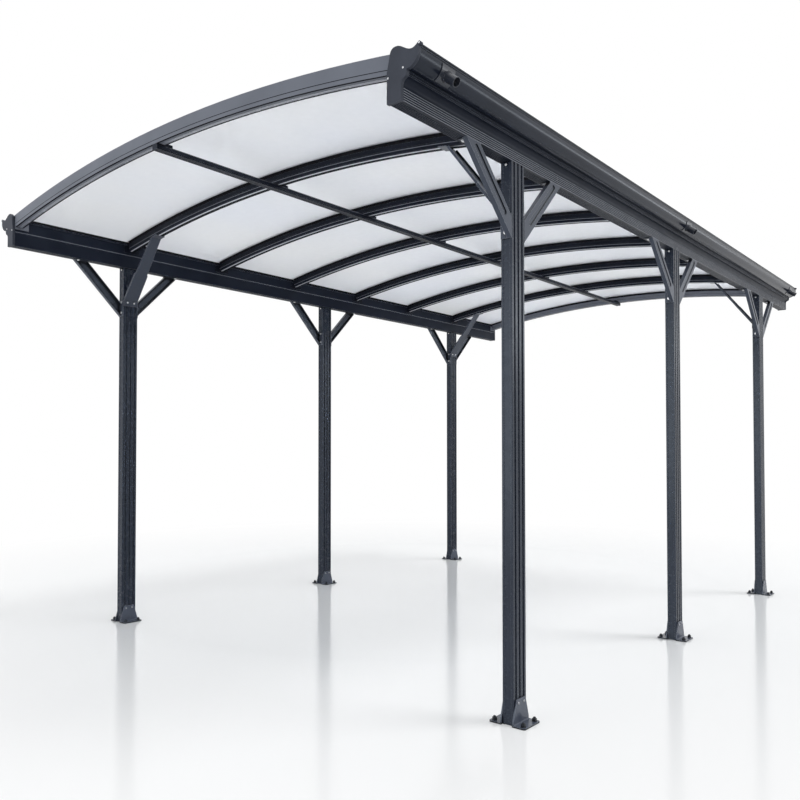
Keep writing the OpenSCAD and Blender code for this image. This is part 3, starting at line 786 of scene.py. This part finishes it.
def studio_floor():
    """A pale glossy floor that keeps shadows near the carport and runs into the white surround."""
    deselect()
    bpy.ops.mesh.primitive_plane_add(size=FLOOR_SIZE, location=(0, 0, -FLOOR_DROP))
    floor = named("studio_floor")
    material, nodes, links = new_material("studio_floor")
    shader = nodes["Principled BSDF"]
    seen = seen_or_mirrored(nodes, links)
    links.new(mixed(nodes, links, seen, (0.50, 0.51, 0.53), (0.87, 0.87, 0.865)),
              shader.inputs["Base Color"])
    shader.inputs["Roughness"].default_value = 0.12
    shader.inputs["Specular IOR Level"].default_value = 0.9
    away = nodes.new("ShaderNodeVectorMath")
    away.operation = "DISTANCE"
    away.inputs[1].default_value = SHADOW_CENTRE
    links.new(object_coordinates(nodes), away.inputs[0])
    far = spread(nodes, links, away.outputs["Value"], FLOOR_FADE[0], FLOOR_FADE[1], 0, 1)
    share = product(nodes, links, far, seen)
    white = nodes.new("ShaderNodeEmission")
    white.inputs["Color"].default_value = (1, 1, 1, 1)
    white.inputs["Strength"].default_value = 1
    mix = nodes.new("ShaderNodeMixShader")
    links.new(share, mix.inputs["Fac"])
    links.new(shader.outputs["BSDF"], mix.inputs[1])
    links.new(white.outputs["Emission"], mix.inputs[2])
    links.new(mix.outputs["Shader"], nodes["Material Output"].inputs["Surface"])
    floor.data.materials.append(material)


def white_world(level):
    """A plain surround that lights at the given level, and is seen and reflected as full white."""
    world = bpy.data.worlds.new("studio_world")
    bpy.context.scene.world = world
    world.use_nodes = True
    nodes, links = world.node_tree.nodes, world.node_tree.links
    nodes.clear()
    lighting = nodes.new("ShaderNodeBackground")
    lighting.inputs["Color"].default_value = (0.93, 0.965, 1, 1)
    lighting.inputs["Strength"].default_value = level
    backdrop = nodes.new("ShaderNodeBackground")
    backdrop.inputs["Color"].default_value = (1, 1, 1, 1)
    backdrop.inputs["Strength"].default_value = 1
    mix = nodes.new("ShaderNodeMixShader")
    links.new(seen_or_mirrored(nodes, links), mix.inputs["Fac"])
    links.new(lighting.outputs["Background"], mix.inputs[1])
    links.new(backdrop.outputs["Background"], mix.inputs[2])
    out = nodes.new("ShaderNodeOutputWorld")
    links.new(mix.outputs["Shader"], out.inputs["Surface"])


def softbox(name, location, target, width, height, power):
    """A rectangular lamp that faces its target."""
    light = bpy.data.lights.new(name, "AREA")
    light.shape = "RECTANGLE"
    light.size = width
    light.size_y = height
    light.energy = power
    light.color = LIGHT_TINT
    lamp = bpy.data.objects.new(name, light)
    bpy.context.scene.collection.objects.link(lamp)
    lamp.location = location
    lamp.rotation_euler = (Vector(target) - Vector(location)).to_track_quat("-Z", "Y").to_euler()


def sun(name, direction, strength, angle):
    """A distant light that shines along a direction, its disc angle degrees across."""
    light = bpy.data.lights.new(name, "SUN")
    light.energy = strength
    light.angle = math.radians(angle)
    lamp = bpy.data.objects.new(name, light)
    bpy.context.scene.collection.objects.link(lamp)
    lamp.rotation_euler = Vector(direction).to_track_quat("-Z", "Y").to_euler()


def main_camera():
    data = bpy.data.cameras.new("main_camera")
    data.sensor_width = 36
    data.lens = 34.71
    data.shift_y = 0.0401
    data.clip_end = 200
    camera = bpy.data.objects.new("main_camera", data)
    bpy.context.scene.collection.objects.link(camera)
    camera.location = (3.0204, -4.3959, 1.0799)
    camera.rotation_euler = (math.radians(91.205), math.radians(0.03), math.radians(39.648))
    bpy.context.scene.camera = camera


studio_floor()
white_world(0.7)
softbox("front_softbox", (-1.5, -9.0, 1.6), (0, 0, 1.0), 4, 4, 135)
softbox("right_softbox", (6.5, 7.0, 3.2), (0, 7.0, 2.6), 12, 1.3, 130)
sun("high_sun", (-0.5, -0.35, -1.0), 1.1, 20)
main_camera()

for master in (bolt, pan, small_pan, hexagon):
    bpy.data.objects.remove(master)

bpy.context.scene.view_settings.view_transform = "Standard"
